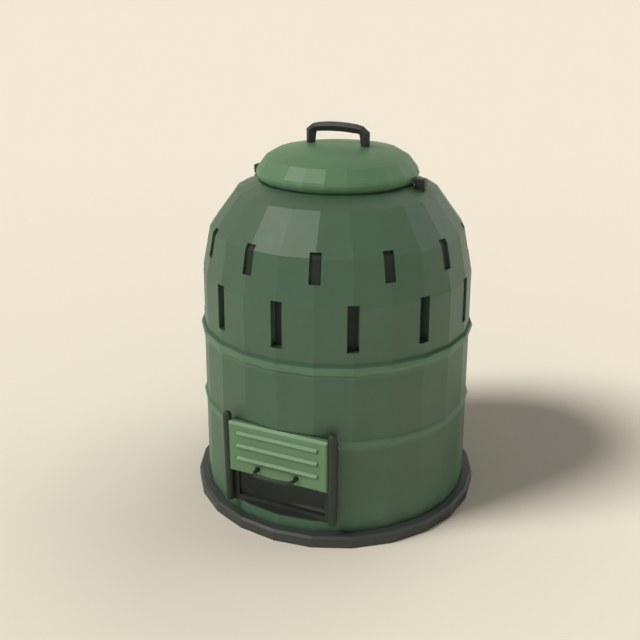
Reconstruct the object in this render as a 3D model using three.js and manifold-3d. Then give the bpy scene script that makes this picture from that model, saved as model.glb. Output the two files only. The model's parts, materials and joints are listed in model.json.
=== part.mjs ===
// Compost bin: a 24-sided moulded shell on a base ring, with vent slots, a sliding hatch at the
// foot and a domed lid that lifts off once its two side clips are swung away.
// Millimetres, +Z up. The hatch faces -Y. The origin is the centre of the base, on the ground.
import * as THREE from "three";
import { mergeVertices } from "three/addons/utils/BufferGeometryUtils.js";
import Module from "manifold-3d";

const wasm = await Module();
wasm.setup();

// Shared values
const facetCount = 24;
const facetAngle = (2 * Math.PI) / facetCount;
const facetShare = Math.cos(facetAngle / 2);
const overrun = 20;
const weldDistance = 0.001;
const seatGap = 0.3;
const slideGap = 0.6;
const shaftGap = 0.3;
const rodSides = 10;

// Shell: how far each stretch of the wall rises and draws in, as vertex radii of the outer face
const shellWall = 5;
const groundRadius = 371.5;
const wallRise = 637.5;
const wallDraw = 10.5;
const shoulderRise = 115;
const shoulderDraw = 24;
const domeRise = 95.5;
const domeDraw = 71;
const brimRise = 23.5;
const brimDraw = 57;
const neckStep = 10;
const neckRise = 16.5;
const lowCreaseHeight = wallRise;
const midCreaseHeight = lowCreaseHeight + shoulderRise;
const highCreaseHeight = midCreaseHeight + domeRise;
const neckFootHeight = highCreaseHeight + brimRise;
const neckTopHeight = neckFootHeight + neckRise;
const lowCreaseRadius = groundRadius - wallDraw;
const midCreaseRadius = lowCreaseRadius - shoulderDraw;
const highCreaseRadius = midCreaseRadius - domeDraw;
const neckFootRadius = highCreaseRadius - brimDraw;
const neckRadius = neckFootRadius - neckStep;

// Raised bands round the shell: centre height, rise above the wall, half height
const lowBand = { height: 280.2, rise: 6, half: 10 };
const highBand = { height: 480.8, rise: 9, half: 15 };
const bandHeightShares = [-1, -0.6, 0, 0.6, 1];
const bandRiseShares = [0, 0.75, 1, 0.75, 0];

// Base ring
const ringReach = 28.5;
const ringRadius = groundRadius + ringReach;
const ringHeight = 31;
const ringBevel = 6;
const ringWall = 4;
const ringGroove = 1.7;
const ringSeatHeight = 8;
const ringSeatWidth = 22;
const ringWebThickness = 3;
const ringWebRise = 2;

// Vent slots
const ventsPerRow = 12;
const ventWall = 3;
const lowVentWidth = 30;
const lowVentHeight = 119;
const lowVentRise = 8.5;
const lowVentDepth = 21;
const highVentWidth = 28.5;
const highVentRise = 12.5;
const highVentDrop = 60.5;
const highVentRecess = 8;
const ventPlate = 4;
const ventTab = 6;
const ventAirGap = 2.5;

// Hatch frame: how far its front plane lies inside the foot of the wall, and its outline
const hatchInset = 20.5;
const hatchPlane = groundRadius - hatchInset;
const frameHalfWidth = 152;
const frameBottom = 60;
const frameHeight = 246.8;
const frameTop = frameBottom + frameHeight;
const frameHeadRise = 16.5;
const frameHeadHalf = 100;
const frameShoulder = frameTop - frameHeadRise;
const framePlate = 5;
const frameWall = 4;
const sillThickness = 4;
const openingMargin = 27;
const openingSill = 18;
const openingHeight = 127;
const openingHalfWidth = frameHalfWidth - openingMargin;
const openingBottom = frameBottom + openingSill;
const openingTop = openingBottom + openingHeight;
const collarWall = 3.5;
const collarDepth = 9;

// Guide rails
const railInset = 4;
const railX = frameHalfWidth - railInset;
const railRadius = 11.5;
const railStandoff = 7.5;
const railOvershoot = 18.2;
const railSides = 16;
const railDomeSteps = 3;
const grooveHeight = 5;
const grooveWeb = 5;

// Hatch panel at the height that the photo shows
const panelLift = 99;
const panelHeight = 145;
const panelBottom = frameBottom + panelLift;
const panelTop = panelBottom + panelHeight;
const panelDepth = 17.5;
const panelStandoff = 3.5;
const panelWall = 4;
const panelLip = 9;
const panelSideBevel = 4;
const panelEndBevel = 6.5;
const tongueThickness = 3.8;
const hatchRise = 2;
const louvreCount = 3;
const louvreEndInset = 34.5;
const louvreTopInset = 28.6;
const louvreHalfLength = railX - louvreEndInset;
const louvreTopHeight = panelTop - louvreTopInset;
const louvrePitch = 36.5;
const louvreHeight = 12;
const louvreRise = 6;
const louvreRiseShares = [0, 0.8, 1, 1, 0.67, 0.34, 0];
const backRibShares = [-0.75, -0.25, 0.25, 0.75];
const backRibThickness = 2.5;
const backRibDepth = 9;

// Hatch handle
const gripHalfSpan = 55;
const gripRise = 24.5;
const gripHeight = panelBottom + gripRise;
const gripArm = 26;
const gripCorner = 13;
const gripBow = 8;
const gripRadius = 5.2;
const gripSides = 10;
const gripSteps = 32;
const gripScrewDepth = 12;
const gripPadRadius = 7.5;
const gripPadThickness = 3;
const gripScrewRadius = 2;

// Lid handle's half width, which the lid's flat crown carries
const bailHalfWidth = 88;

// Lid: how far each stretch rises and draws in, from the lip to the crown
const lidWall = 4.5;
const lidSeatRib = 3.5;
const lidOverhang = 14;
const lidLipDrop = 10.5;
const lidLipDraw = 6.5;
const lidTuckRise = 7.5;
const lidTuckDraw = 2;
const lidRimRise = 8;
const lidShoulderRise = 7.5;
const lidShoulderDraw = 2;
const lidOuterRise = 30;
const lidOuterDraw = 23.5;
const lidMidRise = 15.5;
const lidMidDraw = 27.5;
const lidInnerRise = 11.5;
const lidHandleSeatInset = 2;
const lidCrownRise = 5.5;
const lidRimRadius = neckRadius + lidOverhang;
const lidLipRadius = lidRimRadius - lidLipDraw;
const lidTuckRadius = lidRimRadius - lidTuckDraw;
const lidShoulderRadius = lidRimRadius - lidShoulderDraw;
const lidOuterRadius = lidShoulderRadius - lidOuterDraw;
const lidMidRadius = lidOuterRadius - lidMidDraw;
const lidInnerRadius = bailHalfWidth - lidHandleSeatInset;
const lidLipHeight = neckTopHeight - lidLipDrop;
const lidTuckHeight = lidLipHeight + lidTuckRise;
const lidRimHeight = lidTuckHeight + lidRimRise;
const lidShoulderHeight = lidRimHeight + lidShoulderRise;
const lidOuterHeight = lidShoulderHeight + lidOuterRise;
const lidMidHeight = lidOuterHeight + lidMidRise;
const lidInnerHeight = lidMidHeight + lidInnerRise;
const lidCrownHeight = lidInnerHeight + lidCrownRise;

// Lid handle: a post, a bevelled corner and a slightly crowned grip, and the section
const bailPost = 23;
const bailPostRise = 37;
const bailCornerRise = 14;
const bailCornerWidth = 18;
const bailEndRise = 3.5;
const bailEndWidth = 16;
const bailCrownRise = 4;
const bailFootHeight = lidInnerHeight;
const bailShoulderHeight = bailFootHeight + bailPostRise;
const bailBevelHeight = bailShoulderHeight + bailCornerRise;
const bailTopHeight = bailBevelHeight + bailEndRise;
const bailCrownHeight = bailTopHeight + bailCrownRise;
const bailThickness = 24;
const bailLean = 4;
const bailInnerBevel = 2;
const bailInnerDrop = 6;
const bailFlatHalf = 33;
const bailDepth = 20;
const bailChamfer = 4;

// Lid clips: the right-hand one, seen along Y
const clipHalfWidth = 10.7;
const clipTopDrop = 3;
const clipTop = lidRimHeight - clipTopDrop;
const clipNose = 5;
const clipNoseReach = 2.6;
const clipRest = 0.4;
const clipChamfer = 3;
const clipReach = 24;
const clipDrop = 20;
const clipPinX = lidRimRadius + clipReach;
const clipPinHeight = clipTop - clipDrop;
const clipPinRadius = 2;
const clipKnuckle = 5;
const clipEar = 3;
const clipFoot = 3;
const clipLatchAngle = THREE.MathUtils.degToRad(7);
const keeperWall = 1.5;

// Screws
const screwRadius = 2;
const screwHeadRadius = 4.5;
const screwHeadHeight = 2.6;
const bossRadius = 8;
const ringScrewCount = 6;
const ringScrewHeight = 19;
const frameScrewInset = 25;
const railScrewDepth = 12;
const handleScrewDepth = 14;
const clipBossDepth = 4;

// Materials
const finishes = {
  shell: { color: 0x4c6049, roughness: 0.62, metalness: 0 },
  lid: { color: 0x617d60, roughness: 0.58, metalness: 0 },
  hatch: { color: 0x64855f, roughness: 0.55, metalness: 0 },
  ring: { color: 0x3c3d3a, roughness: 0.7, metalness: 0 },
  trim: { color: 0x35362f, roughness: 0.6, metalness: 0 },
  frame: { color: 0x2d2e2a, roughness: 0.75, metalness: 0 },
  vent: { color: 0x26241f, roughness: 0.8, metalness: 0 },
  steel: { color: 0x8d8f91, roughness: 0.35, metalness: 1 },
};
const materials = {};
for (const [name, finish] of Object.entries(finishes)) {
  materials[name] = new THREE.MeshStandardMaterial(finish);
}

// Solids from three.js geometries

// A closed geometry as a solid that faces out.
function solidFrom(geometry) {
  const bare = new THREE.BufferGeometry();
  bare.setAttribute("position", geometry.getAttribute("position"));
  if (geometry.index) bare.setIndex(geometry.index);
  const merged = mergeVertices(bare, weldDistance);
  const corners = merged.index.array;
  const kept = [];
  for (let i = 0; i < corners.length; i += 3) {
    const [a, b, c] = corners.subarray(i, i + 3);
    if (a !== b && b !== c && c !== a) kept.push(a, b, c);
  }
  const vertProperties = merged.attributes.position.array;
  const build = (list) =>
    new wasm.Manifold(new wasm.Mesh({ numProp: 3, vertProperties, triVerts: new Uint32Array(list) }));
  const made = build(kept);
  return made.volume() < 0 ? build(kept.toReversed()) : made;
}

function geometryOf(solid) {
  const { vertProperties, triVerts } = solid.getMesh();
  const geometry = new THREE.BufferGeometry();
  geometry.setAttribute("position", new THREE.BufferAttribute(vertProperties, 3));
  return geometry.setIndex(new THREE.BufferAttribute(triVerts, 1));
}

const union = (solids) => solids.reduce((all, solid) => all.add(solid));
const cut = (solid, cutters) => cutters.reduce((left, cutter) => left.subtract(cutter), solid);
const moved = (solid, x, y, z) => solidFrom(geometryOf(solid).translate(x, y, z));
const turned = (solid, angle) => solidFrom(geometryOf(solid).rotateZ(angle));

// Copies of a solid at even angles about Z, joined.
function around(count, startAngle, solid) {
  const angles = Array.from({ length: count }, (_, i) => startAngle + (i * 2 * Math.PI) / count);
  return union(angles.map((angle) => turned(solid, angle)));
}

function block([x0, x1], [y0, y1], [z0, z1]) {
  const box = new THREE.BoxGeometry(x1 - x0, y1 - y0, z1 - z0);
  return solidFrom(box.translate((x0 + x1) / 2, (y0 + y1) / 2, (z0 + z1) / 2));
}

// An outline of [u, v] points between two planes: (y, z) along x, (x, z) along y, (x, y) along z.
const unitX = new THREE.Vector3(1, 0, 0);
const unitY = new THREE.Vector3(0, 1, 0);
const unitZ = new THREE.Vector3(0, 0, 1);
const extrudeBases = { x: [unitY, unitZ, unitX], y: [unitX, unitZ, unitY], z: [unitX, unitY, unitZ] };
function prism(axis, outline, [low, high], chamfer = 0) {
  const shape = new THREE.Shape(outline.map(([u, v]) => new THREE.Vector2(u, v)));
  const geometry = new THREE.ExtrudeGeometry(shape, {
    depth: high - low - 2 * chamfer,
    bevelEnabled: chamfer > 0,
    bevelThickness: chamfer,
    bevelSize: chamfer,
    bevelOffset: -chamfer,
    bevelSegments: 1,
  });
  geometry.translate(0, 0, low + chamfer);
  return solidFrom(geometry.applyMatrix4(new THREE.Matrix4().makeBasis(...extrudeBases[axis])));
}

// A body of revolution about Z from [radius, height] points, with a vertex towards -Y.
function revolve(profile, segments = facetCount) {
  const points = [...profile, profile[0]].map(([r, z]) => new THREE.Vector2(r, z));
  return solidFrom(new THREE.LatheGeometry(points, segments).rotateX(Math.PI / 2));
}

// A round bar between two points.
function rod(start, end, radius, sides = rodSides) {
  const from = new THREE.Vector3(...start);
  const along = new THREE.Vector3(...end).sub(from);
  const turn = new THREE.Quaternion().setFromUnitVectors(unitY, along.clone().normalize());
  const bar = new THREE.CylinderGeometry(radius, radius, along.length(), sides);
  bar.applyQuaternion(turn);
  return solidFrom(bar.translate(...from.addScaledVector(along, 1 / 2)));
}

// The polyline shifted to the right of its own direction, with mitred corners.
function offsetLine(points, distance) {
  const vectors = points.map(([u, v]) => new THREE.Vector2(u, v));
  const normals = vectors.slice(1).map((end, i) => {
    const along = end.clone().sub(vectors[i]).normalize();
    return new THREE.Vector2(along.y, -along.x);
  });
  return vectors.map((point, i) => {
    const before = normals[Math.max(i - 1, 0)];
    const after = normals[Math.min(i, normals.length - 1)];
    const mitre = before.clone().add(after);
    mitre.multiplyScalar((2 * distance) / mitre.lengthSq());
    return [point.x + mitre.x, point.y + mitre.y];
  });
}

// A screw whose head rests on a face at start and whose shank runs towards end.
function screw(start, end) {
  const from = new THREE.Vector3(...start);
  const back = from.clone().sub(new THREE.Vector3(...end)).setLength(screwHeadHeight).add(from);
  const half = from.clone().add(back).multiplyScalar(1 / 2);
  return rod(back.toArray(), start, screwHeadRadius).add(rod(half.toArray(), end, screwRadius));
}

// Shell

function wallRadiusAt(height) {
  return THREE.MathUtils.mapLinear(height, 0, lowCreaseHeight, groundRadius, lowCreaseRadius);
}

// One raised band as profile points up the wall.
function bandPoints({ height, rise, half }) {
  return bandHeightShares.map((share, i) => {
    const z = height + share * half;
    return [wallRadiusAt(z) + bandRiseShares[i] * rise, z];
  });
}

const shoulderLine = [
  [lowCreaseRadius, lowCreaseHeight],
  [midCreaseRadius, midCreaseHeight],
  [highCreaseRadius, highCreaseHeight],
];
const shellProfile = [
  [wallRadiusAt(ringSeatHeight), ringSeatHeight],
  ...bandPoints(lowBand),
  ...bandPoints(highBand),
  ...shoulderLine,
  [neckFootRadius, neckFootHeight],
  [neckRadius, neckFootHeight],
  [neckRadius, neckTopHeight],
];

// The space inside the shell profile moved outward, running past the foot and the mouth.
function profileSolid(outward, past) {
  const line = offsetLine(shellProfile, outward);
  const foot = ringSeatHeight - past;
  const mouth = neckTopHeight + past;
  return revolve([
    [0, foot],
    [line[0][0], foot],
    ...line.slice(0, -1),
    [line.at(-1)[0], mouth],
    [0, mouth],
  ]);
}

const seatPlane = hatchPlane - framePlate;

// The outline of the hatch frame with its narrower head, widened by grow, between two depths.
function frameOutline(grow, depths) {
  const part = (halfWidth, top) =>
    block([-halfWidth - grow, halfWidth + grow], depths, [frameBottom - grow, top + grow]);
  return part(frameHalfWidth, frameShoulder).add(part(frameHeadHalf, frameTop));
}

// The recess that the hatch frame sits in, widened by grow, with its floor moved back.
function seatRecess(grow, back) {
  return frameOutline(seatGap + grow, [-groundRadius - overrun, -(seatPlane - seatGap - back)]);
}

const lowVentTop = lowCreaseHeight + lowVentRise;
const lowVentBottom = lowVentTop - lowVentHeight;
const lowVentFace = wallRadiusAt(lowVentTop) - lowVentDepth;
const lowVentBack = lowVentFace - ventPlate;
const highVentTop = midCreaseHeight + highVentRise;
const highVentBottom = midCreaseHeight - highVentDrop;
const highVentBack = highVentRecess + ventPlate;
const ventTurn = (2 * Math.PI) / ventsPerRow;

// The space of a lower vent between two distances from the axis.
function lowVentSpace(grow, front, back) {
  return block(
    [-lowVentWidth / 2 - grow, lowVentWidth / 2 + grow],
    [-front, -back],
    [lowVentBottom - grow, lowVentTop + grow],
  );
}

// The space of an upper vent between two depths under the shoulder's surface.
function highVentSpace(grow, front, back) {
  const heightSpan = [highVentBottom - grow, highVentTop + grow];
  const line = (depth) => offsetLine(shoulderLine, -depth).map(([r, z]) => [-r, z]);
  const halfWidth = highVentWidth / 2 + grow;
  const layer = prism("x", [...line(front), ...line(back).reverse()], [-halfWidth, halfWidth]);
  return layer.intersect(block([-halfWidth, halfWidth], [-groundRadius, 0], heightSpan));
}

const frameScrewHeights = [frameBottom + frameScrewInset, frameShoulder - frameScrewInset];
const frameBossFace = Math.sqrt(
  ((wallRadiusAt(frameTop) - shellWall) * facetShare) ** 2 - (railX + bossRadius) ** 2,
);
const frameScrewPlaces = [-railX, railX].flatMap((x) => frameScrewHeights.map((z) => [x, z]));

// The shoulder under a lid clip, seen along Y, and points on the clip screw's axis out of it.
const clipNormal = new THREE.Vector2(
  neckFootHeight - highCreaseHeight,
  highCreaseRadius - neckFootRadius,
).normalize();
function topShoulderHeightAt(radius) {
  return THREE.MathUtils.mapLinear(
    radius,
    highCreaseRadius,
    neckFootRadius,
    highCreaseHeight,
    neckFootHeight,
  );
}
const keeperFace = lidRimRadius;
const clipFootInner = keeperFace + clipNoseReach;
const clipScrewX = clipFootInner + 2 * screwHeadRadius;
function clipScrewPoint(out) {
  const height = topShoulderHeightAt(clipScrewX) + clipNormal.y * out;
  return [clipScrewX + clipNormal.x * out, 0, height];
}
const clipScrewSeat = -shellWall - clipBossDepth;

function makeShell() {
  const outer = profileSolid(0, 0).subtract(seatRecess(0, 0));
  const inner = profileSolid(-shellWall, overrun).subtract(seatRecess(shellWall, shellWall));
  const clipBoss = rod(clipScrewPoint(0), clipScrewPoint(clipScrewSeat), bossRadius);
  const clipHole = rod(clipScrewPoint(overrun), clipScrewPoint(-overrun), screwRadius + shaftGap);
  const bosses = union([
    around(ventsPerRow, 0, lowVentSpace(ventWall, groundRadius, lowVentBack)),
    around(ventsPerRow, ventTurn / 2, highVentSpace(ventWall, -overrun, highVentBack)),
    around(2, 0, clipBoss),
    ...frameScrewPlaces.map(([x, z]) => rod([x, -groundRadius, z], [x, -frameBossFace, z], bossRadius)),
  ]);
  const ringScrewHole = rod(
    [0, -groundRadius - overrun, ringScrewHeight],
    [0, -groundRadius + overrun, ringScrewHeight],
    screwRadius + shaftGap,
  );
  const collarReach = collarWall + seatGap;
  return cut(outer.subtract(inner).add(bosses.intersect(outer)), [
    around(ventsPerRow, 0, lowVentSpace(0, groundRadius + overrun, lowVentBack - overrun)),
    around(ventsPerRow, ventTurn / 2, highVentSpace(0, -overrun, highVentBack + overrun)),
    block(
      [-openingHalfWidth - collarReach, openingHalfWidth + collarReach],
      [-hatchPlane - overrun, -hatchPlane + overrun],
      [openingBottom - collarReach, openingTop + collarReach],
    ),
    ...frameScrewPlaces.map(([x, z]) =>
      rod([x, -groundRadius, z], [x, -frameBossFace + overrun, z], screwRadius + shaftGap),
    ),
    around(ringScrewCount, facetAngle / 2, ringScrewHole),
    around(2, 0, clipHole),
  ]);
}

// Base ring

const ringInner = groundRadius - ringSeatWidth;
const ringCollar = wallRadiusAt(ringHeight) + ringGroove;

function makeRing() {
  const wallTop = ringHeight - ringWall;
  const seatUnder = ringSeatHeight - ringWall;
  const body = revolve([
    [ringInner, 0],
    [ringRadius, 0],
    [ringRadius, ringHeight - ringBevel],
    [ringRadius - ringBevel, ringHeight],
    [ringCollar, ringHeight],
    [ringCollar, ringSeatHeight],
    [ringInner, ringSeatHeight],
  ]);
  const hollow = revolve([
    [ringInner + ringWall, -overrun],
    [ringInner + ringWall, seatUnder],
    [ringCollar + ringWall, seatUnder],
    [ringCollar + ringWall, wallTop],
    [ringRadius - ringBevel - ringWall / 2, wallTop],
    [ringRadius - ringWall, wallTop - ringBevel + ringWall / 2],
    [ringRadius - ringWall, -overrun],
  ]);
  const web = block(
    [-ringWebThickness / 2, ringWebThickness / 2],
    [-ringRadius, -ringInner],
    [ringWebRise, ringHeight],
  );
  const screwHole = rod(
    [0, -ringCollar - ringWall - screwRadius, ringScrewHeight],
    [0, -ringCollar + overrun, ringScrewHeight],
    screwRadius + shaftGap,
  );
  return cut(body, [
    hollow.subtract(around(facetCount, 0, web)),
    around(ringScrewCount, facetAngle / 2, screwHole),
  ]);
}

// A ring screw in its own frame, from the shell's inner face out through the ring's collar.
function makeRingScrew() {
  const face = (wallRadiusAt(ringScrewHeight) - shellWall) * facetShare - seatGap;
  const tip = ringCollar * facetShare + ringWall;
  return screw([0, -face, ringScrewHeight], [0, -tip, ringScrewHeight]);
}

// Vent plates, in the frame of the vent that faces -Y: held at head and foot, open along both sides

function airGaps(width, bottom, top) {
  return [-1, 1].map((side) => {
    const edge = side * (width / 2 + overrun);
    const inner = side * (width / 2 - ventAirGap);
    return block(
      [Math.min(edge, inner), Math.max(edge, inner)],
      [-groundRadius, 0],
      [bottom + ventTab, top - ventTab],
    );
  });
}

function makeLowVent() {
  const plate = lowVentSpace(-seatGap, lowVentFace, lowVentBack);
  return cut(plate, airGaps(lowVentWidth, lowVentBottom, lowVentTop));
}

function makeHighVent() {
  const plate = highVentSpace(-seatGap, highVentRecess, highVentBack);
  return cut(plate, airGaps(highVentWidth, highVentBottom, highVentTop));
}

// Hatch frame

function makeHatchFrame() {
  const width = [-frameHalfWidth, frameHalfWidth];
  const wallBack = -frameBossFace;
  const plate = frameOutline(0, [-hatchPlane, -seatPlane]);
  const depths = [-hatchPlane, wallBack];
  const rim = frameOutline(0, depths).subtract(frameOutline(-frameWall, depths));
  const columns = frameScrewPlaces.map(([x, z]) => rod([x, -hatchPlane, z], [x, wallBack, z], bossRadius));
  const within = frameOutline(0, [-groundRadius, 0]);
  const behindPlate = profileSolid(seatGap, 0).intersect(frameOutline(0, [-seatPlane, 0]));
  const collar = block(
    [-openingHalfWidth - collarWall, openingHalfWidth + collarWall],
    [-hatchPlane, -seatPlane + collarDepth],
    [openingBottom - collarWall, openingTop + collarWall],
  );
  const sill = block(width, [-groundRadius, -hatchPlane], [frameBottom, frameBottom + sillThickness]);
  const backed = union([plate, rim, ...columns]).intersect(within).subtract(behindPlate);
  return cut(union([backed, collar, sill.intersect(profileSolid(0, 0))]), [
    block(
      [-openingHalfWidth, openingHalfWidth],
      [-groundRadius, 0],
      [openingBottom, openingTop],
    ),
    ...frameScrewPlaces.map(([x, z]) => rod([x, -groundRadius, z], [x, 0, z], screwRadius + shaftGap)),
  ]);
}

const makeFrameScrew = ([x, z]) =>
  screw([x, -frameBossFace + seatGap, z], [x, -hatchPlane - railScrewDepth, z]);

// Guide rails; side is -1 for the left and 1 for the right

const railY = -(hatchPlane + railStandoff);
const railTop = frameTop + railOvershoot;
const grooveFloor = railX - grooveWeb;
const grooveBottom = frameBottom + sillThickness;
const grooveTop = panelTop + hatchRise + slideGap;

function makeRail(side) {
  const domeAngles = Array.from({ length: railDomeSteps }, (_, i) => ((i + 1) * Math.PI) / 2 / railDomeSteps);
  const dome = domeAngles.map((angle) => [railRadius * Math.sin(angle), railRadius * (1 - Math.cos(angle))]);
  const bar = revolve(
    [
      [0, frameBottom],
      ...dome.map(([r, rise]) => [r, frameBottom + rise]),
      ...dome.toReversed().map(([r, rise]) => [r, railTop - rise]),
      [0, railTop],
    ],
    railSides,
  );
  const inner = side * (railX - railRadius - overrun);
  const floor = side * grooveFloor;
  return cut(moved(bar, side * railX, railY, 0), [
    block(
      [side * railX - overrun, side * railX + overrun],
      [-hatchPlane, -hatchPlane + overrun],
      [0, railTop + overrun],
    ),
    block(
      [Math.min(inner, floor), Math.max(inner, floor)],
      [railY - grooveHeight / 2, railY + grooveHeight / 2],
      [grooveBottom, grooveTop],
    ),
    ...frameScrewHeights.map((z) =>
      rod(
        [side * railX, -hatchPlane + screwRadius, z],
        [side * railX, -hatchPlane - railScrewDepth - seatGap, z],
        screwRadius + shaftGap,
      ),
    ),
  ]);
}

// Hatch panel at the height that the photo shows

const panelBack = -(hatchPlane + panelStandoff);
const panelFront = panelBack - panelDepth;
const panelHalfWidth = railX - panelLip;
const panelRecessHalf = railX - railRadius - slideGap;
const tongueTip = grooveFloor - slideGap;
const lipBack = railY - Math.sqrt(railRadius ** 2 - panelLip ** 2) - slideGap;

function makePanel() {
  const rightEdge = [
    [panelHalfWidth - panelSideBevel, panelFront],
    [panelHalfWidth, panelFront + panelSideBevel],
    [panelHalfWidth, lipBack],
    [panelRecessHalf, lipBack],
    [panelRecessHalf, railY - tongueThickness / 2],
    [tongueTip, railY - tongueThickness / 2],
    [tongueTip, railY + tongueThickness / 2],
    [panelRecessHalf, railY + tongueThickness / 2],
    [panelRecessHalf, panelBack],
  ];
  const leftEdge = rightEdge.map(([x, y]) => [-x, y]).reverse();
  const tray = prism("z", [...rightEdge, ...leftEdge], [panelBottom, panelTop]);
  const skinBack = panelFront + panelWall;
  const inside = [-panelRecessHalf + panelWall, panelRecessHalf - panelWall];
  const hollow = block(
    inside,
    [skinBack, panelBack + overrun],
    [panelBottom + panelWall, panelTop - panelWall],
  );
  const ribXs = backRibShares.map((share) => share * panelRecessHalf);
  const ribs = ribXs.map((x) =>
    block(
      [x - backRibThickness / 2, x + backRibThickness / 2],
      [skinBack, skinBack + backRibDepth],
      [panelBottom, panelTop],
    ),
  );
  const middle = (panelBottom + panelTop) / 2;
  ribs.push(
    block(
      inside,
      [skinBack, skinBack + backRibDepth],
      [middle - backRibThickness / 2, middle + backRibThickness / 2],
    ),
  );
  const louvres = Array.from({ length: louvreCount }, (_, i) => {
    const height = louvreTopHeight - i * louvrePitch;
    const outline = louvreRiseShares.map((rise, step) => [
      panelFront - rise * louvreRise,
      height + (step / (louvreRiseShares.length - 1) - 1 / 2) * louvreHeight,
    ]);
    const root = [
      [skinBack, height + louvreHeight / 2],
      [skinBack, height - louvreHeight / 2],
    ];
    return prism("x", [...outline, ...root], [-louvreHalfLength, louvreHalfLength]);
  });
  const endBevels = [
    [panelTop, 1],
    [panelBottom, -1],
  ].map(([end, way]) => {
    const points = [
      [panelFront - overrun, end - way * (panelEndBevel + overrun)],
      [panelFront + panelEndBevel + overrun, end + way * overrun],
      [panelFront - overrun, end + way * overrun],
    ];
    return prism("x", way > 0 ? points : points.reverse(), [-panelHalfWidth, panelHalfWidth]);
  });
  const screwHoles = [-gripHalfSpan, gripHalfSpan].map((x) =>
    rod([x, panelFront - overrun, gripHeight], [x, panelBack, gripHeight], screwRadius + shaftGap),
  );
  return cut(union([tray.subtract(hollow), ...ribs, ...louvres]), [...endBevels, ...screwHoles]);
}

// Hatch handle: a round bar bent from two arms into a bowed grip

function makeGrip() {
  const cornerY = panelFront - gripArm;
  const point = (x, y) => new THREE.Vector3(x, y, gripHeight);
  const root = point(-gripHalfSpan, panelFront);
  const armEnd = point(-gripHalfSpan, cornerY + gripCorner);
  const corner = point(-gripHalfSpan, cornerY);
  const barStart = point(-gripHalfSpan + gripCorner, cornerY - gripBow / 2);
  const middle = point(0, cornerY - gripBow);
  const flip = (p) => point(-p.x, p.y);
  const bowPull = point((barStart.x + middle.x) / 2, middle.y);
  const path = new THREE.CurvePath();
  path.add(new THREE.LineCurve3(root, armEnd));
  path.add(new THREE.QuadraticBezierCurve3(armEnd, corner, barStart));
  path.add(new THREE.QuadraticBezierCurve3(barStart, bowPull, middle));
  path.add(new THREE.QuadraticBezierCurve3(middle, flip(bowPull), flip(barStart)));
  path.add(new THREE.QuadraticBezierCurve3(flip(barStart), flip(corner), flip(armEnd)));
  path.add(new THREE.LineCurve3(flip(armEnd), flip(root)));
  const section = Array.from({ length: gripSides }, (_, i) => {
    const angle = ((i + 1 / 2) * 2 * Math.PI) / gripSides;
    return new THREE.Vector2(gripRadius * Math.cos(angle), gripRadius * Math.sin(angle));
  });
  const bar = new THREE.ExtrudeGeometry(new THREE.Shape(section), { extrudePath: path, steps: gripSteps });
  const holes = [-gripHalfSpan, gripHalfSpan].map((x) =>
    rod(
      [x, panelFront + screwRadius, gripHeight],
      [x, panelFront - gripScrewDepth - seatGap, gripHeight],
      gripScrewRadius + shaftGap,
    ),
  );
  const pads = [-gripHalfSpan, gripHalfSpan].map((x) =>
    rod([x, panelFront, gripHeight], [x, panelFront - gripPadThickness, gripHeight], gripPadRadius),
  );
  return cut(union([solidFrom(bar), ...pads]), holes);
}

function makeGripScrew(x) {
  const head = panelFront + panelWall + seatGap;
  return screw([x, head, gripHeight], [x, panelFront - gripScrewDepth, gripHeight]);
}

// Lid

const lidProfile = [
  [0, lidCrownHeight],
  [lidInnerRadius, lidInnerHeight],
  [lidMidRadius, lidMidHeight],
  [lidOuterRadius, lidOuterHeight],
  [lidShoulderRadius, lidShoulderHeight],
  [lidRimRadius, lidRimHeight],
  [lidTuckRadius, lidTuckHeight],
  [lidLipRadius, lidLipHeight],
];
const lidInside = offsetLine(lidProfile, lidWall);
lidInside[0] = [0, lidCrownHeight - lidWall];
const lidLipInner = lidInside.at(-1)[0];
lidInside[lidInside.length - 1] = [lidLipInner, lidLipHeight];

// The lid's outer form, moved outward and closed below.
function lidSolid(outward) {
  const line = offsetLine(lidProfile, -outward);
  line[0] = [0, lidCrownHeight + outward];
  return revolve([...line, [0, line.at(-1)[1]]]);
}

// The clip's nose at rest and pressed home, seen along Y.
const clipPin = new THREE.Vector2(clipPinX, clipPinHeight);
const noseTip = keeperFace + clipRest;
const noseBottom = clipTop - clipNose;
function latched(x, z) {
  return new THREE.Vector2(x, z).rotateAround(clipPin, clipLatchAngle);
}

const handleFootX = bailHalfWidth - bailPost / 2;
const lidBossFace = lidMidHeight;

function makeLid() {
  const ribInner = neckRadius - (shellWall + lidSeatRib) / 2;
  const rib = revolve([
    [ribInner, neckTopHeight],
    [ribInner + lidSeatRib, neckTopHeight],
    [ribInner + lidSeatRib, lidOuterHeight],
    [ribInner, lidOuterHeight],
  ]);
  const keeperHalf = clipHalfWidth + slideGap + keeperWall;
  const keeper = block(
    [lidLipInner, keeperFace],
    [-keeperHalf, keeperHalf],
    [lidLipHeight, lidRimHeight],
  );
  const pocketFloor = latched(noseTip, noseBottom).x - slideGap;
  const pocket = block(
    [pocketFloor, keeperFace + overrun],
    [-clipHalfWidth - slideGap, clipHalfWidth + slideGap],
    [latched(noseTip, noseBottom).y - slideGap, clipTop + slideGap],
  );
  const bosses = [-handleFootX, handleFootX].map((x) =>
    rod([x, 0, lidBossFace], [x, 0, lidInnerHeight + lidWall], bossRadius),
  );
  const holes = [-handleFootX, handleFootX].map((x) =>
    rod([x, 0, lidBossFace - overrun], [x, 0, lidCrownHeight + overrun], screwRadius + shaftGap),
  );
  const dome = revolve([...lidProfile, ...lidInside.toReversed()]);
  const trims = union([rib, ...bosses]).intersect(lidSolid(0));
  return cut(union([dome, trims, around(2, 0, keeper)]), [around(2, 0, pocket), ...holes]);
}

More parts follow.
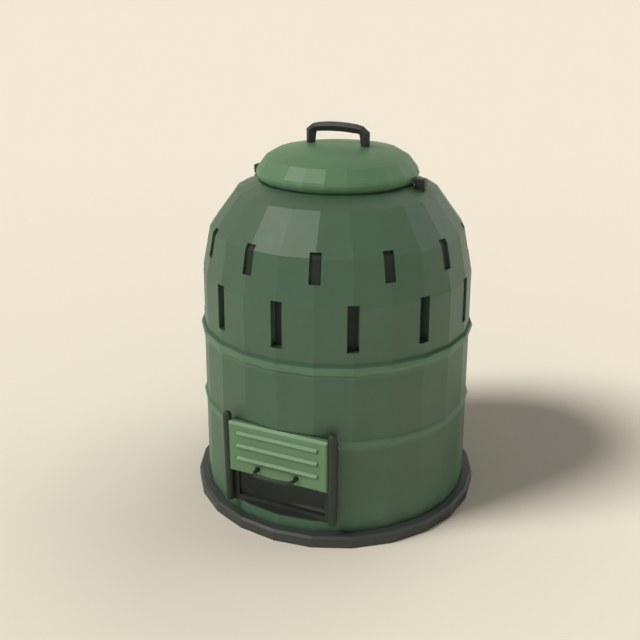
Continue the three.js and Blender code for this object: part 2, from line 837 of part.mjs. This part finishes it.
function makeBail() {
  const innerFoot = bailHalfWidth - bailPost;
  const rightOuter = [
    [bailHalfWidth, bailFootHeight - overrun / 2],
    [bailHalfWidth, bailShoulderHeight],
    [bailHalfWidth - bailCornerWidth, bailBevelHeight],
    [bailHalfWidth - bailCornerWidth - bailEndWidth, bailTopHeight],
  ];
  const rightInner = [
    [innerFoot, bailFootHeight - overrun / 2],
    [innerFoot - bailLean, bailCrownHeight - bailThickness - bailInnerDrop],
    [innerFoot - bailLean - bailInnerBevel, bailCrownHeight - bailThickness - bailInnerDrop / 2],
    [bailFlatHalf, bailCrownHeight - bailThickness - bailInnerDrop / 6],
  ];
  const flip = (points) => points.map(([x, z]) => [-x, z]).reverse();
  const outline = [
    ...rightOuter,
    [0, bailCrownHeight],
    ...flip(rightOuter),
    ...flip(rightInner).reverse(),
    [0, bailCrownHeight - bailThickness],
    ...rightInner.toReversed(),
  ];
  const bar = prism("y", outline, [-bailDepth / 2, bailDepth / 2], bailChamfer);
  const holes = [-handleFootX, handleFootX].map((x) =>
    rod(
      [x, 0, bailFootHeight - overrun],
      [x, 0, bailFootHeight + handleScrewDepth + seatGap],
      screwRadius + shaftGap,
    ),
  );
  return cut(bar, [lidSolid(seatGap), ...holes]);
}

const makeHandleScrew = (x) =>
  screw([x, 0, lidBossFace - seatGap], [x, 0, bailFootHeight + handleScrewDepth]);

// Lid clips, built for the right-hand side

const earInner = clipHalfWidth - clipEar;
const clipOuter = clipPinX + clipKnuckle;

// The height of the clip foot's top over the shoulder.
function clipFootTopAt(radius) {
  return topShoulderHeightAt(radius) + (seatGap + clipFoot) / clipNormal.y;
}

function makeClip() {
  const underInner = keeperFace + clipRest + clipNoseReach;
  const latchDrop = (clipPinX - underInner) * Math.sin(clipLatchAngle);
  const outline = [
    [noseTip, noseBottom],
    [noseTip, clipTop - clipChamfer / 2],
    [noseTip + clipChamfer / 2, clipTop],
    [clipOuter - clipChamfer, clipTop],
    [clipOuter, clipTop - clipChamfer],
    [clipOuter, clipPinHeight],
    [clipPinX, clipPinHeight - clipKnuckle],
    [clipPinX - clipKnuckle, clipPinHeight],
    [underInner, clipFootTopAt(underInner) + latchDrop + slideGap],
    [underInner, noseBottom],
  ];
  const pin = (y0, y1, radius) =>
    rod([clipPinX, y0, clipPinHeight], [clipPinX, y1, clipPinHeight], radius);
  const lever = prism("y", outline, [-clipHalfWidth, clipHalfWidth]);
  const knuckle = pin(-earInner + shaftGap, earInner - shaftGap, clipKnuckle);
  const earRoom = clipKnuckle + slideGap;
  return cut(lever, [
    pin(-clipHalfWidth - overrun, -earInner + shaftGap, earRoom),
    pin(earInner - shaftGap, clipHalfWidth + overrun, earRoom),
  ])
    .add(knuckle)
    .subtract(pin(-overrun, overrun, clipPinRadius + shaftGap));
}

function makeClipBracket() {
  const foot = prism(
    "y",
    [
      [clipFootInner, clipFootTopAt(clipFootInner)],
      [clipOuter, clipFootTopAt(clipOuter)],
      [clipOuter, clipFootTopAt(clipOuter) - overrun],
      [clipFootInner, clipFootTopAt(clipFootInner) - overrun],
    ],
    [-clipHalfWidth, clipHalfWidth],
  );
  const ears = [-clipHalfWidth, earInner].flatMap((low) => [
    rod([clipPinX, low, clipPinHeight], [clipPinX, low + clipEar, clipPinHeight], clipKnuckle),
    block(
      [clipPinX - clipKnuckle, clipPinX],
      [low, low + clipEar],
      [clipPinHeight - overrun, clipPinHeight],
    ),
  ]);
  return cut(union([foot, ...ears]), [
    profileSolid(seatGap, 0),
    rod(
      [clipPinX, -overrun, clipPinHeight],
      [clipPinX, overrun, clipPinHeight],
      clipPinRadius + shaftGap,
    ),
    rod(clipScrewPoint(-overrun), clipScrewPoint(clipFoot), screwRadius + shaftGap),
  ]);
}

const makeClipPin = () =>
  rod(
    [clipPinX, -clipHalfWidth, clipPinHeight],
    [clipPinX, clipHalfWidth, clipPinHeight],
    clipPinRadius,
  );

const makeClipScrew = () => screw(clipScrewPoint(clipScrewSeat - seatGap), clipScrewPoint(clipFoot - seatGap));

// Assembly

const bin = new THREE.Group();

function meshOf(name, solid, material) {
  const geometry = geometryOf(solid).toNonIndexed();
  geometry.computeVertexNormals();
  const mesh = new THREE.Mesh(geometry, material);
  mesh.name = name;
  return mesh;
}

function place(name, solid, material, parent = bin) {
  parent.add(meshOf(name, solid, material));
}

// Numbered copies of one piece at even angles about Z.
function placeAround(name, solid, material, count, startAngle) {
  for (let i = 0; i < count; i += 1) {
    const copy = meshOf(`${name}_${String(i + 1).padStart(2, "0")}`, solid, material);
    copy.rotation.z = startAngle + (i * 2 * Math.PI) / count;
    bin.add(copy);
  }
}

place("base_ring", makeRing(), materials.ring);
place("body_shell", makeShell(), materials.shell);
placeAround("base_screw", makeRingScrew(), materials.steel, ringScrewCount, facetAngle / 2);
placeAround("low_vent", makeLowVent(), materials.vent, ventsPerRow, 0);
placeAround("high_vent", makeHighVent(), materials.vent, ventsPerRow, ventTurn / 2);

place("hatch_frame", makeHatchFrame(), materials.frame);
place("rail_left", makeRail(-1), materials.trim);
place("rail_right", makeRail(1), materials.trim);
frameScrewPlaces.forEach((spot, i) => place(`rail_screw_${i + 1}`, makeFrameScrew(spot), materials.steel));

place("hatch_panel", makePanel(), materials.hatch);
place("hatch_handle", makeGrip(), materials.trim);
place("hatch_screw_left", makeGripScrew(-gripHalfSpan), materials.steel);
place("hatch_screw_right", makeGripScrew(gripHalfSpan), materials.steel);

place("lid", makeLid(), materials.lid);
place("lid_handle", makeBail(), materials.trim);
place("lid_screw_left", makeHandleScrew(-handleFootX), materials.steel);
place("lid_screw_right", makeHandleScrew(handleFootX), materials.steel);

for (const [side, angle] of [["right", 0], ["left", Math.PI]]) {
  const group = new THREE.Group();
  group.rotation.z = angle;
  place(`clip_bracket_${side}`, makeClipBracket(), materials.trim, group);
  place(`clip_${side}`, makeClip(), materials.trim, group);
  place(`clip_pin_${side}`, makeClipPin(), materials.steel, group);
  place(`clip_screw_${side}`, makeClipScrew(), materials.steel, group);
  bin.add(group);
}

export default bin;
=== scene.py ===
# Compost bin with lid: looks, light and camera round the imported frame. Metres, +Z up, hatch towards -Y.
import json
import math

import bmesh
import bpy
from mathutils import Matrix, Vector


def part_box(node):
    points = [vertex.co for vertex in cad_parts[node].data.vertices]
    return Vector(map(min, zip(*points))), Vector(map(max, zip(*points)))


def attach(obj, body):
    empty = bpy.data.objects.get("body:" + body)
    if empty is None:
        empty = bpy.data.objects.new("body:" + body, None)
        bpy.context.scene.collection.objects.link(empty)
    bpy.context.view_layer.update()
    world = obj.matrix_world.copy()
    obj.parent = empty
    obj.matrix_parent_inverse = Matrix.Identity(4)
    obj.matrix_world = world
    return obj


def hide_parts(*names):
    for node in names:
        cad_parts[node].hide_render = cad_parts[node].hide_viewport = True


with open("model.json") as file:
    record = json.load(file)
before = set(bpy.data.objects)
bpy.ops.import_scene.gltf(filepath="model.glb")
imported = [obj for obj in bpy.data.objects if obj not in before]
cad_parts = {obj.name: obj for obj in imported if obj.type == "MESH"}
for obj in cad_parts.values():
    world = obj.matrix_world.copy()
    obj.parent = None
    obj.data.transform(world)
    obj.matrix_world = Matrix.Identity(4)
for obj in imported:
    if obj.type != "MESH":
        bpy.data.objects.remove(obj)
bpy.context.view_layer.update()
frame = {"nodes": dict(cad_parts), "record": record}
nodes = frame["nodes"]


# Helpers for node trees

# The Mix node's sockets for colours
mix_factor = 0
mix_first = 6
mix_second = 7
mix_result = 2
noise_roughness = 0.55
opaque = 1.0


def new_material(name):
    material = bpy.data.materials.new(name)
    material.use_nodes = True
    tree = material.node_tree
    tree.nodes.clear()
    output = tree.nodes.new("ShaderNodeOutputMaterial")
    shader = tree.nodes.new("ShaderNodeBsdfPrincipled")
    tree.links.new(shader.outputs["BSDF"], output.inputs["Surface"])
    return material, tree, shader


def coordinates(tree, kind):
    return tree.nodes.new("ShaderNodeTexCoord").outputs[kind]


def noise(tree, place, scale, detail):
    node = tree.nodes.new("ShaderNodeTexNoise")
    node.inputs["Scale"].default_value = scale
    node.inputs["Detail"].default_value = detail
    node.inputs["Roughness"].default_value = noise_roughness
    tree.links.new(place, node.inputs["Vector"])
    return node.outputs["Fac"]


def map_range(tree, value, source, target=(0.0, 1.0)):
    node = tree.nodes.new("ShaderNodeMapRange")
    for bound, number in zip(("From Min", "From Max", "To Min", "To Max"), (*source, *target)):
        node.inputs[bound].default_value = number
    tree.links.new(value, node.inputs["Value"])
    return node.outputs["Result"]


def mix_colour(tree, factor, first, second):
    node = tree.nodes.new("ShaderNodeMix")
    node.data_type = "RGBA"
    node.inputs[mix_first].default_value = (*first, opaque)
    node.inputs[mix_second].default_value = (*second, opaque)
    tree.links.new(factor, node.inputs[mix_factor])
    return node.outputs[mix_result]


def ramp(tree, value, stops):
    node = tree.nodes.new("ShaderNodeValToRGB")
    points = node.color_ramp.elements
    while len(points) < len(stops):
        points.new(1.0)
    for point, (place, colour) in zip(points, stops):
        point.position = place
        point.color = (*colour, opaque)
    tree.links.new(value, node.inputs["Fac"])
    return node.outputs["Color"]


def scaled(tree, colour, share):
    node = tree.nodes.new("ShaderNodeVectorMath")
    node.operation = "SCALE"
    tree.links.new(colour, node.inputs[0])
    tree.links.new(share, node.inputs["Scale"])
    return node.outputs["Vector"]


def added(tree, first, second):
    node = tree.nodes.new("ShaderNodeMath")
    node.operation = "ADD"
    tree.links.new(first, node.inputs[0])
    tree.links.new(second, node.inputs[1])
    return node.outputs[0]


def by_height(tree, place, levels):
    """A value that runs through the levels, each given with its height."""
    low = levels[0][0]
    high = levels[-1][0]
    apart = tree.nodes.new("ShaderNodeSeparateXYZ")
    tree.links.new(place, apart.inputs[0])
    height = map_range(tree, apart.outputs["Z"], (low, high))
    return ramp(tree, height, [((z - low) / (high - low), (level,) * 3) for z, level in levels])


# Moulded plastic and steel

drift_scale = 5.0
drift_detail = 2.0
cloud_scale = 42.0
cloud_detail = 4.0
cloud_share = 0.35
cloud_range = (0.3, 0.7)
tint_range = (0.45, 0.9)
plastic_mottle = 0.05
gloss_spread = 0.03
grain_scale = 900.0
grain_detail = 2.0
grain_depth = 0.00004
grain_strength = 0.35
# Painted shade in hollows: samples of the occlusion and the range over which it darkens
hollow_shade_samples = 8
hollow_shade_range = (0.25, 0.95)
marks_scale = 650.0
marks_detail = 3.0
marks_range = (0.3, 0.7)
steel_roughness = (0.28, 0.46)


def mottled(tree, place, cloud, colour):
    """The colour, a little darker or lighter by a slow drift and a cloudy mottle."""
    blend = tree.nodes.new("ShaderNodeMath")
    blend.operation = "MULTIPLY_ADD"
    blend.inputs[1].default_value = cloud_share
    tree.links.new(cloud, blend.inputs[0])
    tree.links.new(noise(tree, place, drift_scale, drift_detail), blend.inputs[2])
    darker = [c * (1 - plastic_mottle) for c in colour]
    lighter = [c * (1 + plastic_mottle) for c in colour]
    return mix_colour(tree, map_range(tree, blend.outputs[0], tint_range), darker, lighter)


def painted_hollow_shade(tree, colour, reach, depth):
    """Painted shade: the colour darkened in the piece's own pockets and creases, by how occluded they are.
    """
    node = tree.nodes.new("ShaderNodeAmbientOcclusion")
    node.only_local = True
    node.samples = hollow_shade_samples
    node.inputs["Distance"].default_value = reach
    return scaled(tree, colour, map_range(tree, node.outputs["AO"], hollow_shade_range, (1 - depth, 1.0)))


def grained(tree, place):
    """Normals with a fine spark-eroded grain."""
    bump = tree.nodes.new("ShaderNodeBump")
    bump.inputs["Strength"].default_value = grain_strength
    bump.inputs["Distance"].default_value = grain_depth
    tree.links.new(noise(tree, place, grain_scale, grain_detail), bump.inputs["Height"])
    return bump.outputs["Normal"]


def moulded_plastic(name, colour, roughness, specular, hollow_shading=None, tones=None, matt=None):
    """Mottled plastic with a fine grain and uneven gloss.

    Hollow shading is a reach and a depth of painted shade in the piece's own pockets and creases. Tones
    scale the colour by height, which on the shell is painted light, and matt adds roughness by height.
    """
    material, tree, shader = new_material(name)
    shader.inputs["Specular IOR Level"].default_value = specular
    place = coordinates(tree, "Object")
    cloud = noise(tree, place, cloud_scale, cloud_detail)
    shade = mottled(tree, place, cloud, colour)
    # Painted light and shade by height
    if tones:
        shade = scaled(tree, shade, by_height(tree, place, tones))
    # Painted shade in the piece's own hollows
    if hollow_shading:
        shade = painted_hollow_shade(tree, shade, *hollow_shading)
    rough = map_range(tree, cloud, cloud_range, (roughness - gloss_spread, roughness + gloss_spread))
    if matt:
        rough = added(tree, rough, by_height(tree, place, matt))
    tree.links.new(shade, shader.inputs["Base Color"])
    tree.links.new(rough, shader.inputs["Roughness"])
    tree.links.new(grained(tree, place), shader.inputs["Normal"])
    return material


def bare_steel(name, dull, bright):
    """Screw steel: faint turning marks and patchy gloss."""
    material, tree, shader = new_material(name)
    marks = noise(tree, coordinates(tree, "Object"), marks_scale, marks_detail)
    shader.inputs["Metallic"].default_value = 1.0
    tree.links.new(mix_colour(tree, marks, dull, bright), shader.inputs["Base Color"])
    tree.links.new(map_range(tree, marks, marks_range, steel_roughness), shader.inputs["Roughness"])
    return material


# The shell's tones by height, painted light: the foot painted lighter against the shade near the ground, the
# two bands painted paler as if their upper flanks were lit from above, and a rougher, slightly paler line
# just above the upper one
foot_painted_light = ((0.030, 1.3), (0.070, 1.22), (0.120, 1.05), (0.170, 1.0))
low_band_painted_light = ((0.255, 1.0), (0.262, 1.1), (0.268, 1.40), (0.276, 1.40), (0.287, 1.35), (0.2915, 1.0))
high_band_painted_light = ((0.454, 1.0), (0.460, 1.25), (0.468, 1.5), (0.488, 1.55))
above_high_band_tones = ((0.4915, 1.06), (0.498, 1.06), (0.501, 1.0))
shell_painted_light_tones = foot_painted_light + low_band_painted_light + high_band_painted_light + above_high_band_tones
shell_matt = ((0.488, 0.0), (0.4915, 0.4), (0.498, 0.4), (0.501, 0.0))
# Painted shade in the shell's and the hatch's own hollows, as a reach and a depth
shell_hollow_shade = (0.03, 0.5)
hatch_hollow_shade = (0.02, 0.8)

finishes = {
    "shell": moulded_plastic(
        "shell_plastic",
        (0.070, 0.158, 0.095),
        roughness=0.465,
        specular=0.62,
        hollow_shading=shell_hollow_shade,
        tones=shell_painted_light_tones,
        matt=shell_matt,
    ),
    "lid": moulded_plastic("lid_plastic", (0.132, 0.300, 0.156), roughness=0.48, specular=0.65),
    "hatch": moulded_plastic(
        "hatch_plastic",
        (0.157, 0.330, 0.165),
        roughness=0.45,
        specular=0.6,
        hollow_shading=hatch_hollow_shade,
    ),
    "ring": moulded_plastic("ring_plastic", (0.070, 0.078, 0.077), roughness=0.5, specular=0.4),
    "trim": moulded_plastic("trim_plastic", (0.036, 0.042, 0.040), roughness=0.5, specular=0.4),
    "frame": moulded_plastic("frame_plastic", (0.041, 0.048, 0.048), roughness=0.6, specular=0.3),
    "vent": moulded_plastic("vent_plastic", (0.022, 0.033, 0.026), roughness=0.6, specular=0.3),
    "steel": bare_steel("screw_steel", dull=(0.38, 0.39, 0.40), bright=(0.56, 0.57, 0.58)),
}
blackened = bare_steel("pin_steel", dull=(0.030, 0.031, 0.031), bright=(0.050, 0.051, 0.050))
rail_finish = moulded_plastic("rail_plastic", (0.030, 0.049, 0.036), roughness=0.5, specular=0.4)


# Surfaces and edges of the CAD's pieces, with angles in degrees

weld_distance = 0.00002
bevel_segments = 2
bevel_angle = 30
smooth_angle = 35
crown_height = 0.9303
ring_edge = 0.0015
panel_edge = 0.0008
bracket_edge = 0.0006
edge_widths = {
    "base_ring": ring_edge,
    "hatch_frame": panel_edge,
    "hatch_panel": panel_edge,
    "clip_left": panel_edge,
    "clip_right": panel_edge,
    "clip_bracket_left": bracket_edge,
    "clip_bracket_right": bracket_edge,
}
drawn_round = ("rail_left", "rail_right", "hatch_handle")
blackened_nodes = ("clip_pin_left", "clip_screw_left", "clip_pin_right", "clip_screw_right")
slots = {row["node"]: row["material_slot"] for row in frame["record"]["subparts"]}


def finish_node(name):
    mesh = nodes[name].data
    mesh.materials.clear()
    mesh.materials.append(finishes[slots[name]])
    mesh.shade_flat()


def join_points(name):
    join = nodes[name].modifiers.new("joined_points", "WELD")
    join.merge_threshold = weld_distance


def soften(piece, width, angle):
    bevel = piece.modifiers.new("soft_edges", "BEVEL")
    bevel.width = width
    bevel.segments = bevel_segments
    bevel.limit_method = "ANGLE"
    bevel.angle_limit = math.radians(angle)
    bevel.use_clamp_overlap = True


def shade_round(name):
    nodes[name].data.shade_smooth()
    split = nodes[name].modifiers.new("sharp_edges", "EDGE_SPLIT")
    split.split_angle = math.radians(smooth_angle)


for name in nodes:
    finish_node(name)
for name in blackened_nodes:
    nodes[name].data.materials[0] = blackened
for name in drawn_round:
    nodes[name].data.materials[0] = rail_finish
for name, width in edge_widths.items():
    join_points(name)
    soften(nodes[name], width, bevel_angle)
for name in drawn_round:
    join_points(name)
    shade_round(name)

# The lid's crown is moulded round; its rim keeps flat sides
join_points("lid")
for face in nodes["lid"].data.polygons:
    face.use_smooth = face.center.z > crown_height and face.normal.z > 0


# Lid handle: a six-sided bar whose ridge runs along both faces of the arch

# Half of the arch, from foot to middle: each station has its outer and its inner point as X and Z
bail_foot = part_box("lid_handle")[0][2]
bail_stations = (
    ((0.088, bail_foot), (0.065, bail_foot)),
    ((0.088, 0.9945), (0.061, 0.986)),
    ((0.070, 1.0085), (0.059, 0.989)),
    ((0.054, 1.0125), (0.040, 0.9906)),
    ((0.027, 1.0153), (0.020, 0.9917)),
    ((0.0, 1.016), (0.0, 0.992)),
)
bail_ridge_share = 0.42
bail_half_depth = 0.0100
bail_half_edge = 0.0025
bail_sides = 6
bail_edge = 0.0008
bail_bevel_angle = 20


def bail_points():
    mirrored = [tuple((-x, z) for x, z in pair) for pair in bail_stations[-2::-1]]
    points = []
    for (outer_x, outer_z), (inner_x, inner_z) in [*bail_stations, *mirrored]:
        ridge_x = outer_x + bail_ridge_share * (inner_x - outer_x)
        ridge_z = outer_z + bail_ridge_share * (inner_z - outer_z)
        points += [
            (outer_x, -bail_half_edge, outer_z),
            (ridge_x, -bail_half_depth, ridge_z),
            (inner_x, -bail_half_edge, inner_z),
            (inner_x, bail_half_edge, inner_z),
            (ridge_x, bail_half_depth, ridge_z),
            (outer_x, bail_half_edge, outer_z),
        ]
    return points


def bail_faces(count):
    last = count - bail_sides
    faces = [tuple(range(bail_sides)), tuple(reversed(range(last, count)))]
    for start in range(0, last, bail_sides):
        for side in range(bail_sides):
            after = (side + 1) % bail_sides
            ahead = start + bail_sides
            faces.append((start + side, ahead + side, ahead + after, start + after))
    return faces


def face_outwards(mesh):
    shell = bmesh.new()
    shell.from_mesh(mesh)
    bmesh.ops.recalc_face_normals(shell, faces=shell.faces)
    shell.to_mesh(mesh)
    shell.free()


def make_bail():
    points = bail_points()
    mesh = bpy.data.meshes.new("lid_handle_bar")
    mesh.from_pydata(points, [], bail_faces(len(points)))
    mesh.validate()
    face_outwards(mesh)
    mesh.materials.append(finishes["trim"])
    bar = bpy.data.objects.new("lid_handle_bar", mesh)
    bpy.context.scene.collection.objects.link(bar)
    soften(bar, bail_edge, bail_bevel_angle)
    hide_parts("lid_handle")
    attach(bar, "lid")
    return bar


bail = make_bail()


# Floor and surround

floor_radius = 90
floor_sides = 96
paper_colour = (0.948, 0.874, 0.741)
paper_roughness = 0.95
# Shares of the paper's colour by distance from the bin's middle, painted shade: the paper is darker close to
# it, standing in for the bin's occlusion of the floor
paper_reach = 6.0
paper_shade_shares = ((0.4, 0.735), (0.6, 0.85), (0.9, 0.925), (1.4, 0.96), (2.5, 0.985), (5.0, 1.0))
backdrop_display = (242, 232, 213)
backdrop_strength = 1.0
surround_colour = (1.0, 0.97, 0.93)
surround_strength = 0.03
reflected_low = (0.64, 0.61, 0.50)
reflected_high = (0.98, 0.93, 0.76)
reflected_range = (0.0, 0.9)
reflected_strength = 1.0


def as_linear(displayed):
    """A displayed colour of 0 to 255 as linear values, by the sRGB curve."""
    shares = [c / 255 for c in displayed]
    return tuple(c / 12.92 if c <= 0.04045 else ((c + 0.055) / 1.055) ** 2.4 for c in shares)


def paper():
    material, tree, shader = new_material("floor_paper")
    shader.inputs["Roughness"].default_value = paper_roughness
    shader.inputs["Specular IOR Level"].default_value = 0.0
    distance = tree.nodes.new("ShaderNodeVectorMath")
    distance.operation = "LENGTH"
    tree.links.new(coordinates(tree, "Object"), distance.inputs[0])
    away = map_range(tree, distance.outputs["Value"], (0.0, paper_reach))
    # Painted shade: the paper darkens towards the bin
    stops = [(r / paper_reach, [c * share for c in paper_colour]) for r, share in paper_shade_shares]
    tree.links.new(ramp(tree, away, stops), shader.inputs["Base Color"])
    return material


def background(tree, strength):
    node = tree.nodes.new("ShaderNodeBackground")
    node.inputs["Strength"].default_value = strength
    return node


def plain_background(tree, colour, strength):
    node = background(tree, strength)
    node.inputs["Color"].default_value = (*colour, opaque)
    return node


def switch(tree, ray, otherwise, chosen):
    node = tree.nodes.new("ShaderNodeMixShader")
    tree.links.new(ray, node.inputs["Fac"])
    tree.links.new(otherwise, node.inputs[1])
    tree.links.new(chosen, node.inputs[2])
    return node.outputs[0]


def make_surround():
    """A weak warm light all round. The camera sees the backdrop, and gloss a sky that brightens upwards."""
    world = bpy.data.worlds.new("studio")
    bpy.context.scene.world = world
    world.use_nodes = True
    tree = world.node_tree
    tree.nodes.clear()
    output = tree.nodes.new("ShaderNodeOutputWorld")
    rays = tree.nodes.new("ShaderNodeLightPath").outputs
    direction = tree.nodes.new("ShaderNodeSeparateXYZ")
    tree.links.new(coordinates(tree, "Generated"), direction.inputs[0])
    height = map_range(tree, direction.outputs["Z"], reflected_range)
    reflected = background(tree, reflected_strength)
    tree.links.new(mix_colour(tree, height, reflected_low, reflected_high), reflected.inputs["Color"])
    around = plain_background(tree, surround_colour, surround_strength)
    backdrop = plain_background(tree, as_linear(backdrop_display), backdrop_strength)
    surround = switch(tree, rays["Is Glossy Ray"], around.outputs[0], reflected.outputs[0])
    surround = switch(tree, rays["Is Camera Ray"], surround, backdrop.outputs[0])
    tree.links.new(surround, output.inputs["Surface"])


bpy.ops.mesh.primitive_circle_add(vertices=floor_sides, radius=floor_radius, fill_type="TRIFAN")
floor = bpy.context.object
floor.name = "floor"
floor.data.materials.append(paper())
make_surround()


# Lights: a soft key from the front left and a fill from behind, a pair each for the bin and the floor

warm = (1.04, 0.99, 0.93)
cool = (0.96, 1.0, 1.07)
floor_warm = (1.0, 0.985, 0.96)
inside_place = (0.0, 0.05, 0.40)
inside_colour = (0.92, 1.0, 1.0)
inside_strength = 0.38
inside_radius = 0.15


def hang(name, lamp, receivers):
    """Hold the lamp in the scene, so that it lights nothing but its receivers."""
    holder = bpy.data.objects.new(name, lamp)
    bpy.context.scene.collection.objects.link(holder)
    lit = bpy.data.collections.new(name + "_receivers")
    for receiver in receivers:
        lit.objects.link(receiver)
    holder.light_linking.receiver_collection = lit
    return holder


def turn(holder, direction, axis):
    holder.rotation_mode = "QUATERNION"
    holder.rotation_quaternion = direction.to_track_quat(axis, "Y")


def sun(name, azimuth, elevation, spread, strength, tint, receivers):
    """A sun lamp. Azimuth is from the hatch's side, positive to the right; all angles in degrees."""
    lamp = bpy.data.lights.new(name, "SUN")
    lamp.energy = strength
    lamp.angle = math.radians(spread)
    lamp.color = tint
    across = math.radians(azimuth)
    up = math.radians(elevation)
    towards = (math.sin(across) * math.cos(up), -math.cos(across) * math.cos(up), math.sin(up))
    turn(hang(name, lamp, receivers), Vector(towards), "Z")


bin_pieces = [*nodes.values(), bail]
sun("key", azimuth=-40, elevation=46, spread=21, strength=1.36, tint=warm, receivers=bin_pieces)
sun("fill", azimuth=142, elevation=23, spread=50, strength=0.33, tint=cool, receivers=bin_pieces)
sun("floor_key", azimuth=-47.5, elevation=46.3, spread=20, strength=3.06, tint=floor_warm, receivers=[floor])
sun("floor_fill", azimuth=150, elevation=31, spread=75, strength=1.25, tint=floor_warm, receivers=[floor])

# A weak light inside, so that the open hatch shows the far wall
glow = bpy.data.lights.new("inside", "POINT")
glow.energy = inside_strength
glow.color = inside_colour
glow.shadow_soft_size = inside_radius
inside = hang("inside", glow, [nodes["body_shell"], nodes["base_ring"], floor])
inside.location = inside_place


# Camera

camera_place = (0.891075, -2.044901, 1.343596)
camera_direction = (-0.389477, 0.845982, -0.364172)
focal_pixels = 858.954
picture_pixels = 640
sensor_width = 36
far_clip = 300

camera = bpy.data.objects.new("camera", bpy.data.cameras.new("camera"))
bpy.context.scene.collection.objects.link(camera)
camera.location = camera_place
turn(camera, Vector(camera_direction), "-Z")
camera.data.sensor_width = sensor_width
camera.data.lens = focal_pixels / picture_pixels * sensor_width
camera.data.clip_end = far_clip
bpy.context.scene.camera = camera
bpy.context.scene.view_settings.view_transform = "Standard"
